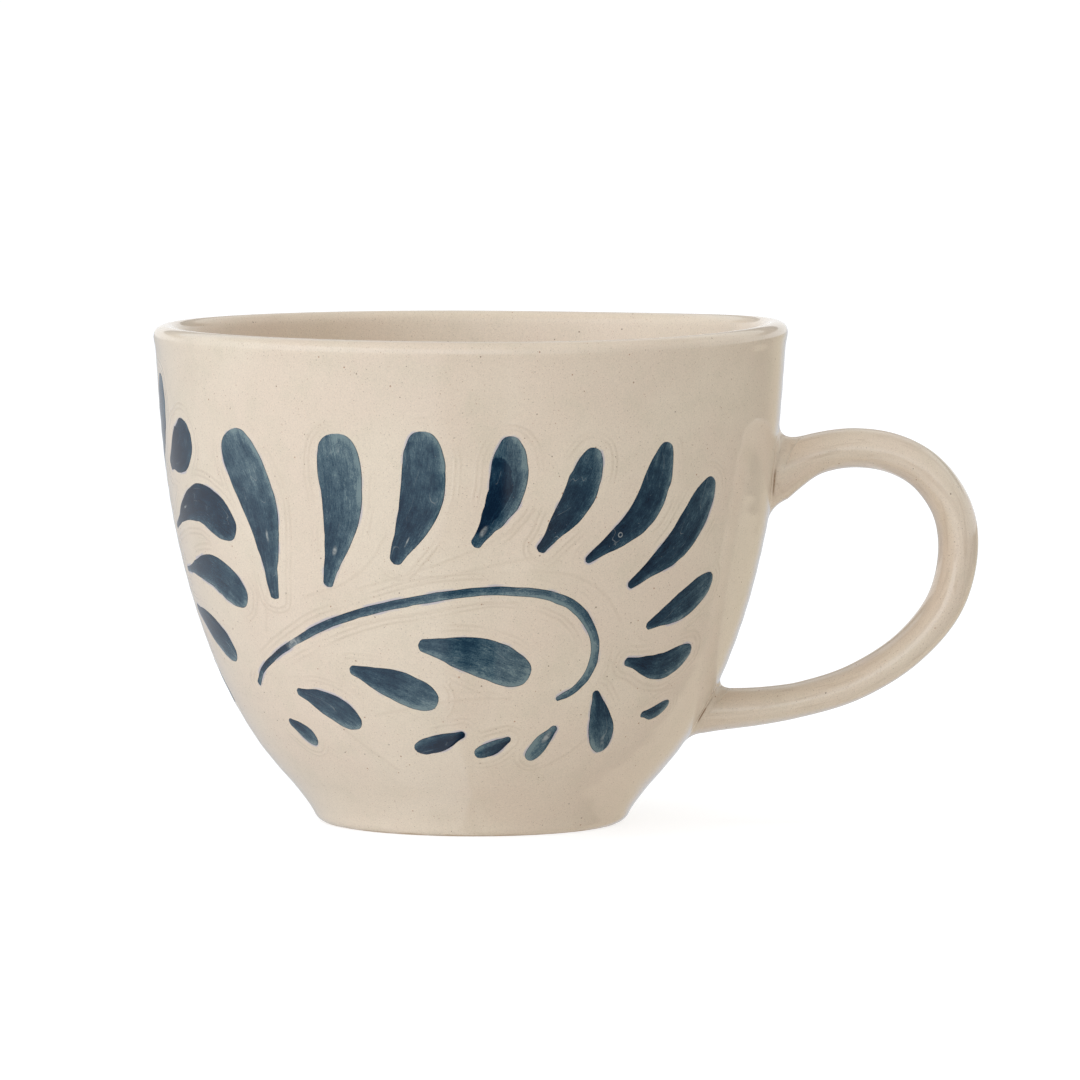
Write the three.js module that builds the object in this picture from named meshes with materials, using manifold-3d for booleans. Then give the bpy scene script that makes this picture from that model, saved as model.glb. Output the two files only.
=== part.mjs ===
// A hand-painted stoneware mug with a rounded bowl and a pulled loop handle.
// Millimetres, +Z up. The origin is on the axis of the bowl, at the level of the table.
// The handle points along +X, and the front of the painting faces -Y.

import * as THREE from 'three';
import { mergeVertices } from 'three/addons/utils/BufferGeometryUtils.js';
import Module from 'manifold-3d';

const wasm = await Module();
wasm.setup();

// ---- driving dimensions, mm ----

const HEIGHT = 95;
const LIP_DROP = 2.0;            // the lip's rounding, measured down from the top
const WALL_AT_LIP = 4.3;         // thickness of the wall just under the lip
const WALL_AT_FOOT = 5.6;        // the wall thickens towards the foot
const LOWEST_INSIDE = 0.1;       // share of the wall's line where the inside turns into the floor
const FLOOR_LEVEL = 6.6;         // top of the floor at the axis
const FLOOR_DISH = 0.4;          // how far the floor rises towards its edge
const FLOOR_FLAT_SHARE = 0.68;   // the part of the floor's radius that is flat
const FOOT_RADIUS = 27.6;        // outer edge of the flat ring it stands on
const FOOT_EDGE = [28.8, 0.35];  // a point on the rounding from the ring up to the wall
const RECESS_RADIUS = 21;        // shallow hollow inside that ring
const RECESS_DEPTH = 0.8;
const RECESS_BEVEL = 1.2;

// Outside of the wall from the foot to the lip, [radius, height].
const WALL = [
  [29.5, 1.3], [30.6, 3.2], [33.7, 7.2], [40.1, 14.8], [46.8, 26.2],
  [52.6, 41.6], [57.0, 60.6], [59.3, 79.8], [60.2, HEIGHT - LIP_DROP],
];

// Middle of the handle from the upper root to the lower root, [x, z].
// Both ends start inside the wall and are cut off there.
const HANDLE = [
  [53, 65], [60, 68.3], [66, 70.5], [73.2, 71.4], [80.6, 70.3], [86.7, 66.9], [91.6, 60.1],
  [93.1, 52.5], [90.7, 42.2], [83.8, 33.1], [73.8, 26.5], [64, 23.3], [55.4, 22], [46, 21.4], [38, 21.2],
];
const UPPER_HALF_THICK = 3.9;    // the rod thins a little from the upper root to the lower
const LOWER_HALF_THICK = 3.45;
const HANDLE_HALF_WIDE = 6.5;
const UPPER_FLARE = 2.6;         // extra half thickness where the handle meets the wall
const LOWER_FLARE = 1.1;
const FLARE_REACH = 3.0;         // distance over which the flare fades
const FLARE_WIDE_SHARE = 0.5;    // the flare sideways, as a share of the flare in thickness

const SLIP_THICK = 1.2;          // bed of slip that lutes a handle root to the wall
const SLIP_OVERHANG = 0.9;       // how far it squeezes out around the root
const GAP = 0.35;                // clearance between neighbouring solids

const STROKE_THICK = 0.3;
const TAIL_WIDTH = 0.9;
const HEAD_WIDTH = 1.2;
const WIDEST_AT = 0.66;          // where most leaves are widest, from tail (0) to head (1)
const TALL_WIDEST_AT = 0.77;     // the tall leaves at the left of a spray are widest nearer the head
const STEM_WIDTH = 1.9;
const SWELL = 1.1;               // above 1 a leaf stays narrow further up from its tail
const TALL_SWELL = 1.9;
const DRIFT_DEGREES = 1.1;       // how far the painter strays in repeating a spray
const DRIFT_RISE = 0.7;

const AROUND_BODY = 64;
const AROUND_HANDLE = 16;
const WALL_STEPS = 16;
const INSIDE_STEPS = 10;
const HANDLE_STEPS = 40;
const SLIP_STEPS = 6;
const LEAF_STEPS = 8;
const STEM_STEPS = 26;

// ---- brushwork ----
// Places on the wall are [angle, height]: degrees round from the front, mm above the table.
// A leaf is one press of the brush, from its thin tail through its bend to its round head.

const LEAVES = [
  { name: 'outer_leaf_1', head: [-49.4, 77], bend: [-42.7, 61.8], tail: [-42.5, 46], width: 10.4, tall: true },
  { name: 'outer_leaf_2', head: [-25.2, 77.4], bend: [-24.6, 63.3], tail: [-29.1, 49], width: 9, tall: true },
  { name: 'outer_leaf_3', head: [-8.8, 78.2], bend: [-9.2, 66], tail: [-14.8, 53.7], width: 8.5 },
  { name: 'outer_leaf_4', head: [7, 77.4], bend: [6.1, 67], tail: [0.5, 57.1], width: 7.2 },
  { name: 'outer_leaf_5', head: [22.7, 75], bend: [19.3, 65.4], tail: [12.6, 56.2], width: 6.6 },
  { name: 'outer_leaf_6', head: [38.1, 75.6], bend: [33.7, 63.2], tail: [22.1, 54.1], width: 6.7 },
  { name: 'outer_leaf_7', head: [50.5, 68.5], bend: [43.9, 57.9], tail: [32, 49.1], width: 7.2 },
  { name: 'outer_leaf_8', head: [55, 49.9], bend: [48, 45.3], tail: [38.2, 41.2], width: 6.2 },
  { name: 'outer_leaf_9', head: [53.9, 36.1], bend: [45.7, 33.4], tail: [34.5, 34.8], width: 5.6 },
  { name: 'outer_leaf_10', head: [52.5, 25.8], bend: [48.5, 24.2], tail: [44.1, 24.1], width: 3.1 },
  { name: 'inner_leaf_1', head: [12.2, 32.6], bend: [1.4, 36.4], tail: [-11, 38.5], width: 7.8 },
  { name: 'inner_leaf_2', head: [-7.9, 27.4], bend: [-16.7, 30.6], tail: [-27, 33.5], width: 6.4 },
  { name: 'inner_leaf_3', head: [-27.5, 22.6], bend: [-34.6, 26.1], tail: [-43, 28.5], width: 5.7 },
  { name: 'inner_leaf_4', head: [-43.1, 18.4], bend: [-46.3, 20.7], tail: [-50, 22.3], width: 3 },
  { name: 'base_leaf_1', head: [-13.9, 18.4], bend: [-8.1, 19.5], tail: [-1.4, 21.5], width: 3.7 },
  { name: 'base_leaf_2', head: [1.4, 17.5], bend: [5.4, 18.6], tail: [9.8, 20.6], width: 2.7 },
  { name: 'base_leaf_3', head: [15.1, 16.5], bend: [17.6, 19.2], tail: [20.6, 22.8], width: 2.9 },
  { name: 'base_leaf_4', head: [36, 17.6], bend: [32.7, 22.6], tail: [28.6, 29.4], width: 5.3 },
];
const STEM = [
  [-56.2, 28.8], [-52.8, 31.6], [-42.8, 36.6], [-28, 42.6], [-10, 47.1], [7, 48.9],
  [20.3, 45.9], [26.6, 38.1], [25.1, 31.1], [19.7, 28.1],
];

// The leaves of the left spray that were painted with a hand of their own.
const LEFT_OWN = {
  outer_leaf_5: { head: [-79, 86], bend: [-81, 78], tail: [-87, 67.5], width: 8 },
  outer_leaf_6: { head: [-65.7, 78], bend: [-67.4, 73.9], tail: [-76.5, 69], width: 9.6 },
  outer_leaf_7: { head: [-50.8, 58.3], bend: [-62, 62.8], tail: [-79.5, 57.1], width: 8.6, tall: true },
  outer_leaf_8: { head: [-51.2, 45.3], bend: [-61.5, 49.9], tail: [-78, 49.3], width: 7.6, tall: true },
  outer_leaf_9: { head: [-62, 33.9], bend: [-69.8, 38.4], tail: [-79.5, 42], width: 6.7 },
  base_leaf_4: { head: [-81, 24], bend: [-83.5, 27.6], tail: [-86.5, 31.5], width: 3.6 },
};

// Three sprays go round the bowl. The back one is drawn narrower, clear of the handle.
const SPRAYS = [
  { name: 'front', turn: 0, squeeze: 1, unsteady: 0, own: {}, without: [] },
  { name: 'left', turn: -118, squeeze: 0.9, unsteady: 1, own: LEFT_OWN, without: ['outer_leaf_10'] },
  { name: 'back', turn: 147, squeeze: 0.78, unsteady: 1, own: {}, without: ['outer_leaf_10', 'inner_leaf_4'] },
];

// ---- materials ----

const glaze = new THREE.MeshStandardMaterial({ color: '#dccebc', roughness: 0.16, metalness: 0 });
const handleGlaze = new THREE.MeshStandardMaterial({ color: '#d8c9b6', roughness: 0.18, metalness: 0 });
const slip = new THREE.MeshStandardMaterial({ color: '#b9a78f', roughness: 0.35, metalness: 0 });
const cobalt = new THREE.MeshStandardMaterial({ color: '#2b4d66', roughness: 0.14, metalness: 0 });

// ---- shared shapes ----

const mug = new THREE.Group();

function addPiece(name, geometry, material) {
  const mesh = new THREE.Mesh(geometry, material);
  mesh.name = name;
  mug.add(mesh);
}

const wallCurve = new THREE.SplineCurve(WALL.map(([r, z]) => new THREE.Vector2(r, z)));
const wallLine = wallCurve.getPoints(WALL_STEPS);

// Radius of the outside of the wall at a height.
function wallRadius(height) {
  const above = wallLine.findIndex((point) => point.y >= height);
  const k = above < 0 ? wallLine.length - 1 : Math.max(above, 1);
  const [low, high] = [wallLine[k - 1], wallLine[k]];
  return THREE.MathUtils.mapLinear(height, low.y, high.y, low.x, high.x);
}

// Turns a half outline round the upright axis.
function turned(points) {
  return new THREE.LatheGeometry(points, AROUND_BODY).rotateX(Math.PI / 2);
}

function toSolid(geometry) {
  const bare = geometry.clone();
  bare.deleteAttribute('normal');
  bare.deleteAttribute('uv');
  const merged = mergeVertices(bare, 1e-4);
  return new wasm.Manifold(new wasm.Mesh({
    numProp: 3,
    vertProperties: new Float32Array(merged.attributes.position.array),
    triVerts: new Uint32Array(merged.index.array),
  }));
}

function toGeometry(solid) {
  const { vertProperties, triVerts } = solid.getMesh();
  const geometry = new THREE.BufferGeometry();
  geometry.setAttribute('position', new THREE.BufferAttribute(vertProperties, 3));
  geometry.setIndex(new THREE.BufferAttribute(triVerts, 1));
  return geometry;
}

// ---- body ----

// The inside of the wall: the outside moved in along its normal by the wall's thickness.
function insideLine() {
  const line = [];
  for (let k = 0; k <= INSIDE_STEPS; k += 1) {
    const u = 1 - (k / INSIDE_STEPS) * (1 - LOWEST_INSIDE);
    const tangent = wallCurve.getTangent(u);
    const thick = THREE.MathUtils.lerp(WALL_AT_FOOT, WALL_AT_LIP, u);
    const outside = wallCurve.getPoint(u);
    line.push(new THREE.Vector2(outside.x - tangent.y * thick, outside.y + tangent.x * thick));
  }
  return line.filter((point) => point.y > FLOOR_LEVEL + 2 * FLOOR_DISH);
}

function makeBody() {
  const inside = insideLine();
  const outerLip = wallLine[wallLine.length - 1];
  const lipMiddle = (outerLip.x + inside[0].x) / 2;
  const lipHalf = (outerLip.x - inside[0].x) / 2;
  const lip = [30, 60, 90, 120, 150].map((degrees) => {
    const a = THREE.MathUtils.degToRad(degrees);
    return new THREE.Vector2(lipMiddle + lipHalf * Math.cos(a), outerLip.y + LIP_DROP * Math.sin(a));
  });
  const underside = [
    [0, RECESS_DEPTH], [RECESS_RADIUS, RECESS_DEPTH], [RECESS_RADIUS + RECESS_BEVEL, 0],
    [FOOT_RADIUS, 0], FOOT_EDGE,
  ].map(([r, z]) => new THREE.Vector2(r, z));
  const edge = inside[inside.length - 1];
  const floor = [
    [edge.x * 0.89, FLOOR_LEVEL + FLOOR_DISH], [edge.x * FLOOR_FLAT_SHARE, FLOOR_LEVEL], [0, FLOOR_LEVEL],
  ].map(([r, z]) => new THREE.Vector2(r, z));
  return turned([...underside, ...wallLine, ...lip, ...inside, ...floor]);
}

// A solid core of the wall's outside shape, grown by a distance, to cut roots against.
function wallCore(growth) {
  const line = [[0, -HEIGHT], [WALL[0][0] + growth, -HEIGHT]].map(([r, z]) => new THREE.Vector2(r, z));
  wallLine.forEach((point) => line.push(new THREE.Vector2(point.x + growth, point.y)));
  const top = wallLine[wallLine.length - 1];
  line.push(new THREE.Vector2(0, top.y));
  return toSolid(turned(line));
}

// ---- handle and the slip that holds it ----

const handleCurve = new THREE.CatmullRomCurve3(HANDLE.map(([x, z]) => new THREE.Vector3(x, 0, z)));
const sideways = new THREE.Vector3(0, 1, 0);

// Extra half thickness near the roots, fading with the distance from the wall.
function flare(point, share) {
  const away = Math.max(point.x - wallRadius(point.z), 0);
  const root = share < 0.5 ? UPPER_FLARE : LOWER_FLARE;
  return root * Math.exp(-away / FLARE_REACH);
}

// The handle's oval rod between two shares of its length, grown all round by a distance.
function rod(from, to, steps, growth) {
  const geometry = new THREE.CylinderGeometry(1, 1, 1, AROUND_HANDLE, steps);
  const position = geometry.attributes.position;
  for (let k = 0; k < position.count; k += 1) {
    const share = THREE.MathUtils.lerp(from, to, position.getY(k) + 0.5);
    const point = handleCurve.getPointAt(share);
    const outward = new THREE.Vector3().crossVectors(handleCurve.getTangentAt(share), sideways);
    const extra = flare(point, share);
    const thick = THREE.MathUtils.lerp(UPPER_HALF_THICK, LOWER_HALF_THICK, share) + extra + growth;
    const wide = HANDLE_HALF_WIDE + extra * FLARE_WIDE_SHARE + growth;
    point.addScaledVector(outward, position.getX(k) * thick);
    point.addScaledVector(sideways, position.getZ(k) * wide);
    position.setXYZ(k, point.x, point.y, point.z);
  }
  return toSolid(geometry);
}

function makeHandle() {
  const reach = SLIP_THICK + 2 * GAP;
  return toGeometry(rod(0, 1, HANDLE_STEPS, 0).subtract(wallCore(reach)));
}

function makeSlip(from, to) {
  const bed = rod(from, to, SLIP_STEPS, SLIP_OVERHANG);
  return toGeometry(bed.intersect(wallCore(GAP + SLIP_THICK)).subtract(wallCore(GAP)));
}

// ---- painted strokes ----

// A place on the wall, lifted off it along the wall's normal.
function onWall(angle, height, lift) {
  const step = 0.5;
  const slope = (wallRadius(height + step) - wallRadius(height - step)) / (2 * step);
  const lean = 1 / Math.hypot(1, slope);
  const a = THREE.MathUtils.degToRad(angle);
  const r = wallRadius(height) + lift * lean;
  return new THREE.Vector3(r * Math.sin(a), -r * Math.cos(a), height - lift * slope * lean);
}

// A thin closed strip that follows the wall along a path of places.
// Above 1, crowding puts more of its steps near the path's end, where a leaf's head is round.
function strip(places, widthAt, steps, crowding) {
  const path = new THREE.CatmullRomCurve3(places.map(([a, z]) => new THREE.Vector3(a, z, 0)));
  const geometry = new THREE.BoxGeometry(1, 1, 1, steps, 2, 1);
  const position = geometry.attributes.position;
  for (let k = 0; k < position.count; k += 1) {
    const share = 1 - (0.5 - position.getX(k)) ** crowding;
    const middle = path.getPointAt(share);
    const tangent = path.getTangentAt(share);
    const mmPerDegree = THREE.MathUtils.degToRad(wallRadius(middle.y));
    const along = new THREE.Vector2(tangent.x * mmPerDegree, tangent.y).normalize();
    const across = position.getY(k) * widthAt(share);
    const angle = middle.x - (along.y * across) / mmPerDegree;
    const height = middle.y + along.x * across;
    const lift = GAP + (position.getZ(k) + 0.5) * STROKE_THICK;
    const place = onWall(angle, height, lift);
    position.setXYZ(k, place.x, place.y, place.z);
  }
  return geometry;
}

// Width of a leaf from tail (0) to head (1): it swells, then closes in a round head.
function leafWidth(width, tall) {
  const widest = tall ? TALL_WIDEST_AT : WIDEST_AT;
  const power = tall ? TALL_SWELL : SWELL;
  return (share) => {
    if (share < widest) {
      const swell = Math.sin((share / widest) * Math.PI / 2);
      return TAIL_WIDTH + (width - TAIL_WIDTH) * swell ** power;
    }
    const past = (share - widest) / (1 - widest);
    return HEAD_WIDTH + (width - HEAD_WIDTH) * Math.sqrt(Math.max(1 - past ** 2, 0));
  };
}

// The stem is thin at its far end and fullest just before it curls over.
function stemWidth(share) {
  return TAIL_WIDTH + (STEM_WIDTH - TAIL_WIDTH) * Math.sin(share ** 1.2 * Math.PI) ** 0.8;
}

// Moves a place of the front spray round to another spray, with the painter's unsteadiness.
function carried([angle, height], spray, count) {
  const drift = DRIFT_DEGREES * Math.sin(count * 2.1 + spray.turn) * spray.unsteady;
  const rise = DRIFT_RISE * Math.cos(count * 1.7 + spray.turn) * spray.unsteady;
  return [angle * spray.squeeze + spray.turn + drift, height + rise];
}

function paintSpray(spray) {
  addPiece(`${spray.name}_stem`, strip(STEM.map((place) => carried(place, spray, 0)), stemWidth, STEM_STEPS, 1), cobalt);
  LEAVES.filter((leaf) => !spray.without.includes(leaf.name)).forEach((leaf, count) => {
    const own = spray.own[leaf.name];
    const { tail, bend, head, width, tall } = own ?? leaf;
    const places = [tail, bend, head].map((place) => (own ? place : carried(place, spray, count)));
    addPiece(`${spray.name}_${leaf.name}`, strip(places, leafWidth(width, tall), LEAF_STEPS, 1.4), cobalt);
  });
}

// ---- assembly ----

addPiece('body', makeBody(), glaze);
addPiece('handle', makeHandle(), handleGlaze);
addPiece('upper_slip_joint', makeSlip(0, 0.1), slip);
addPiece('lower_slip_joint', makeSlip(0.86, 1), slip);
SPRAYS.forEach(paintSpray);

export default mug;
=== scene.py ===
"""A hand-painted stoneware mug, with its glaze, its brushwork and its luted handle.

The mug is in millimetres until a piece is made, where they become metres, and the camera,
the tables and the lights are placed in metres. A place on the wall is (angle, height):
degrees round from the front (-Y) towards the handle (+X), and height above the table.
"""

import math

import bpy
import numpy as np
from mathutils import Matrix, Vector, kdtree


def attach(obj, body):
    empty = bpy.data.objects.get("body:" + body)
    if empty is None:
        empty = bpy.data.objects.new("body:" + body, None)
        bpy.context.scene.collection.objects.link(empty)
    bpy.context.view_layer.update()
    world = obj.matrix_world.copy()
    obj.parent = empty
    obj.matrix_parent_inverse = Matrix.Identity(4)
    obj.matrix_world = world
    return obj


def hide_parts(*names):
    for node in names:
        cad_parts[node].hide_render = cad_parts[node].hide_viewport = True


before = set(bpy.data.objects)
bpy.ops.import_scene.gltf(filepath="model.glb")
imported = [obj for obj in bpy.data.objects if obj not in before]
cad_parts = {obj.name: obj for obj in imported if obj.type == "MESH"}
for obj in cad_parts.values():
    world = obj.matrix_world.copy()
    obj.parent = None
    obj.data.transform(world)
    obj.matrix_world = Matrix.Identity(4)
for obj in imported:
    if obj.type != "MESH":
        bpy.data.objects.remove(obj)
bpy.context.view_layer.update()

MM = 0.001

# ---- camera ----

CAMERA_PLACE = (0.0, -1.508, 0.172)
CAMERA_AIM = (0.01308, 0.0, 0.05394)
CAMERA_LENS = 263.3          # mm, on a 36 mm sensor
CAMERA_ROLL = 0.0047         # radians

# ---- body ----

COLUMNS = 500
WALL_PITCH = 0.76            # between rings on the outside of the wall
LIP_PITCH = 0.55
INSIDE_PITCH = 3.2
UNDERSIDE_PITCH = 2.6
FOOT_FROM, FOOT_TO = 27, 29.4    # radii between which the foot's rings are as close as the lip's
OUT_OF_ROUND = 0.10          # the thrown bowl is slightly oval
THROWING_RIDGE = 0.02        # height of the faint rings that the potter's fingers left
THROWING_PITCH = 4.3

BOWL_SWELL = 0.35            # the upper bowl is fuller than its drawn line
BOWL_LEAN = 0.12             # and leans this far away from the handle
# How much fuller the wall is on the handle's side and on the far side, [height, mm].
HANDLE_SIDE = [[0, 0.7], [15, 0.4], [40, 0.2], [60, 0], [78, -0.35], [95, -0.4]]
FAR_SIDE = [[0, 0.35], [12, 0.3], [30, 0.2], [50, 0.15], [95, 0]]
LIP_RISE = 1.3               # the rim stands this much higher over the handle
LIP_RISE_FROM = 70           # the height from which the wall rises with it
LIP_FULLER = 0.3             # the rim's outer shoulder is squarer than its drawn line

# Soft lines pressed round the leaves, as distances from the paint, and how far they wander.
GUIDE_LINES = [1.5, 2.5]
GUIDE_WANDER = 0.45
GUIDE_HEIGHT = 0.03
GUIDE_SPREAD = 0.45          # how far the raised edge of a line spreads
FAR = 50.0                   # stands for a place that is nowhere near a line

# Freehand sweeps of the tool between the strokes of a spray.
SWEEPS = [
    [[-38.7, 38.6], [-24.7, 42], [-10.9, 44.4], [-1.9, 46], [8.1, 46.6]],
    [[-22, 49], [-14, 51.2], [-3.7, 54.9], [2, 57.2], [8, 60.5], [11, 63.5]],
    [[-14, 49.2], [-2, 52.2], [5, 53.8], [11, 55]],
    [[-34, 47], [-26, 49.5], [-20, 53.5], [-16.5, 58.5]],
    [[12, 52.5], [20, 51.4], [27, 47.5], [31, 43]],
    [[-44, 48], [-45.5, 44], [-47, 40]],
    [[-32.5, 21.4], [-27, 17.6], [-21, 14.1]],
    [[21, 14.8], [25.5, 16.8], [29.5, 19.4]],
    [[-22, 24.6], [-12, 26.4], [-3, 27.8], [8, 28.2]],
]
# The sprays round the bowl: degrees round from the front, and how much narrower each is.
SPRAYS = [(0, 1), (-118, 0.9), (147, 0.78)]

# ---- brushwork ----

FILM = 0.035                 # how far the painted film stands proud of the wall
FILM_EDGE = 0.3              # distance over which it rises from its edge
FILM_ROOT = 0.12             # depth to which it soaks into the wall
STROKE_PITCH = 0.34
STROKE_COLUMNS = 14

# ---- handle ----

# Middle of the handle from the upper root to the lower root, [x, z].
HANDLE = [
    [53, 64.6], [60, 68.2], [66, 70.8], [73.2, 71.9], [80.7, 70.8], [87, 67.3], [91.9, 60.4],
    [93.2, 52.5], [90.8, 42.3], [83.8, 33.5], [73.8, 27], [64, 23.7], [55.4, 22.2], [46, 21.5], [38, 21.2],
]
HANDLE_HALF_THICK = [3.7, 3.75, 3.9, 3.47, 3.34, 4.2]    # at even steps along it
HANDLE_HALF_WIDE = 6.5
STREAK_HALF_THICK = 4.0                                   # for the streaks of its glaze
SECTION_POWER = 1.09                                      # over 1 leaves a soft ridge along each side
UPPER_FLARE = 1.2
LOWER_FLARE = 0.5
FLARE_REACH = 4.0
UPPER_ROOT_DEEPER = 0.8      # the upper arm also deepens close to the wall
UPPER_ROOT_REACH = 4.5
HANDLE_RINGS = 260
HANDLE_SIDES = 96
SLIP_ROWS = 16


# ---- curves ----


def curve_through(points, per_span):
    """A smooth centripetal curve through points, with per_span steps between each two."""
    p = np.asarray(points, float)
    p = np.vstack([2 * p[0] - p[1], p, 2 * p[-1] - p[-2]])
    knots = np.concatenate([[0], np.cumsum(np.sqrt(np.linalg.norm(np.diff(p, axis=0), axis=1)))])
    spans = []
    for k in range(1, len(p) - 2):
        t0, t1, t2, t3 = knots[k - 1:k + 3]
        t = np.linspace(t1, t2, per_span, endpoint=False)[:, None]
        a1 = ((t1 - t) * p[k - 1] + (t - t0) * p[k]) / (t1 - t0)
        a2 = ((t2 - t) * p[k] + (t - t1) * p[k + 1]) / (t2 - t1)
        a3 = ((t3 - t) * p[k + 1] + (t - t2) * p[k + 2]) / (t3 - t2)
        b1 = ((t2 - t) * a1 + (t - t0) * a2) / (t2 - t0)
        b2 = ((t3 - t) * a2 + (t - t1) * a3) / (t3 - t1)
        spans.append(((t2 - t) * b1 + (t - t1) * b2) / (t2 - t1))
    return np.vstack([*spans, p[-2:-1]])


def lengths_along(points):
    """Distance along a line to each of its points."""
    return np.concatenate([[0], np.cumsum(np.linalg.norm(np.diff(points, axis=0), axis=1))])


def at(points, places, where):
    """The points of a line at distances along it."""
    return np.stack([np.interp(where, places, points[:, k]) for k in range(points.shape[1])], axis=-1)


def eased(x, values, where):
    """Monotone cubic through (x, values), so that a width never overshoots."""
    x, values = np.asarray(x, float), np.asarray(values, float)
    step, rise = np.diff(x), np.diff(values) / np.diff(x)
    slope = np.zeros(len(x))
    same_way = rise[:-1] * rise[1:] > 0
    safe = np.where(same_way, rise[:-1] + rise[1:], 1)
    slope[1:-1] = np.where(same_way, 2 * rise[:-1] * rise[1:] / safe, 0)
    slope[0], slope[-1] = rise[0], rise[-1]
    k = np.clip(np.searchsorted(x, where) - 1, 0, len(x) - 2)
    t = np.clip((where - x[k]) / step[k], 0, 1)
    return (
        values[k] * (1 + 2 * t) * (1 - t) ** 2 + slope[k] * step[k] * t * (1 - t) ** 2
        + values[k + 1] * t * t * (3 - 2 * t) - slope[k + 1] * step[k] * t * t * (1 - t)
    )


def smoothstep(low, high, x):
    t = np.clip((x - low) / (high - low), 0, 1)
    return t * t * (3 - 2 * t)


def dabs(rng, where):
    """A line of short straight runs that strays at random, between about -1 and 1."""
    corners = np.cumsum(rng.uniform(0.9, 3.2, int(where[-1] / 0.9) + 4)) - 2
    return np.interp(where, corners, rng.uniform(-1, 1, len(corners)))


# ---- the frame's own shapes ----


def cad_corners(node):
    """A CAD node's merged corners in mm, and its triangles as rows of corner numbers."""
    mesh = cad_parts[node].data
    places = np.array([v.co for v in mesh.vertices]) / MM
    corners, number = np.unique(np.round(places, 3), axis=0, return_inverse=True)
    triangles = number.reshape(-1)[np.array([p.vertices for p in mesh.polygons])]
    return corners, triangles


def body_profile():
    """The body's half outline, [radius, height], from the middle of its underside to its floor."""
    corners, triangles = cad_corners("body")
    in_column = (np.abs(corners[:, 1]) < 0.01) & (corners[:, 0] > -0.01)
    links = {}
    for triangle in triangles:
        for a, b in zip(triangle, np.roll(triangle, 1)):
            if in_column[a] and in_column[b]:
                links.setdefault(a, set()).add(b)
                links.setdefault(b, set()).add(a)
    ends = [k for k in links if len(links[k]) == 1]
    chain = [min(ends, key=lambda k: corners[k, 2])]
    while len(chain) < len(links):
        chain.append(next(k for k in links[chain[-1]] if k not in chain[-2:]))
    return corners[chain][:, [0, 2]]


PROFILE = body_profile()
TOP = float(PROFILE[:, 1].max())
LIP_LEVEL = TOP - 2.0
FINE_PROFILE = curve_through(PROFILE, 24)
FINE_PROFILE[:, 1] = np.maximum(FINE_PROFILE[:, 1], 0)
LIP_AT = int(np.argmax(FINE_PROFILE[:, 1]))
OUTSIDE = FINE_PROFILE[:LIP_AT + 1][FINE_PROFILE[:LIP_AT + 1, 0] > FOOT_FROM]
OUTSIDE = OUTSIDE[np.argmax(OUTSIDE[:, 1] > 0.2):]


def wall_radius(height):
    """Radius of the outside of the wall, before the unevenness of the throwing."""
    below_lip = OUTSIDE[:, 1] <= LIP_LEVEL
    return np.interp(height, OUTSIDE[below_lip, 1], OUTSIDE[below_lip, 0])


def unevenness(angle, height):
    """How far the thrown wall strays outwards from a true round."""
    a = np.radians(angle)
    oval = OUT_OF_ROUND * (np.cos(2 * a + 0.7) + 0.4 * np.cos(3 * a - 1.1)) * smoothstep(5, 70, height)
    wander = 0.8 * np.sin(a + 0.4) + 0.5 * np.sin(2 * a)
    rings = THROWING_RIDGE * np.sin(2 * np.pi * height / THROWING_PITCH + wander)
    fuller = (BOWL_SWELL - BOWL_LEAN * np.sin(a)) * smoothstep(20, 60, height)
    for side, swelling in ((1, HANDLE_SIDE), (-1, FAR_SIDE)):
        fuller = fuller + eased(*zip(*swelling), height) * np.maximum(side * np.sin(a), 0) ** 2
    return oval + fuller + rings * smoothstep(6, 16, height) * smoothstep(TOP - 3, TOP - 9, height)


def on_wall(angle, height, lift):
    """Points on the wall, lifted off it along its normal."""
    slope = wall_radius(height + 0.5) - wall_radius(height - 0.5)
    lean = 1 / np.hypot(1, slope)
    a = np.radians(angle)
    r = wall_radius(height) + unevenness(angle, height) + lift * lean
    return np.stack([r * np.sin(a), -r * np.cos(a), height - lift * slope * lean], axis=-1)


# ---- pieces ----


def grid_faces(rows, columns):
    """Quads between neighbouring rows of points, each row closing on itself."""
    r, c = np.meshgrid(np.arange(rows - 1), np.arange(columns), indexing="ij")
    after = (c + 1) % columns
    row, next_row = r * columns, (r + 1) * columns
    return np.stack([row + c, row + after, next_row + after, next_row + c], -1).reshape(-1, 4).tolist()


def add_piece(name, points, faces, material, node, fields=None):
    """A smooth mesh from points in mm, standing for one CAD node. Fields are numbers at its points."""
    mesh = bpy.data.meshes.new(name)
    mesh.from_pydata((np.asarray(points) * MM).tolist(), [], faces)
    mesh.validate()
    mesh.shade_smooth()
    for field, values in (fields or {}).items():
        values = np.asarray(values, np.float32)
        kind, key = ("FLOAT_VECTOR", "vector") if values.ndim == 2 else ("FLOAT", "value")
        mesh.attributes.new(field, kind, "POINT").data.foreach_set(key, values.ravel())
    mesh.materials.append(material)
    piece = bpy.data.objects.new(name, mesh)
    bpy.context.scene.collection.objects.link(piece)
    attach(piece, "root")
    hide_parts(node)
    return piece


# ---- material nodes ----


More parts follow.
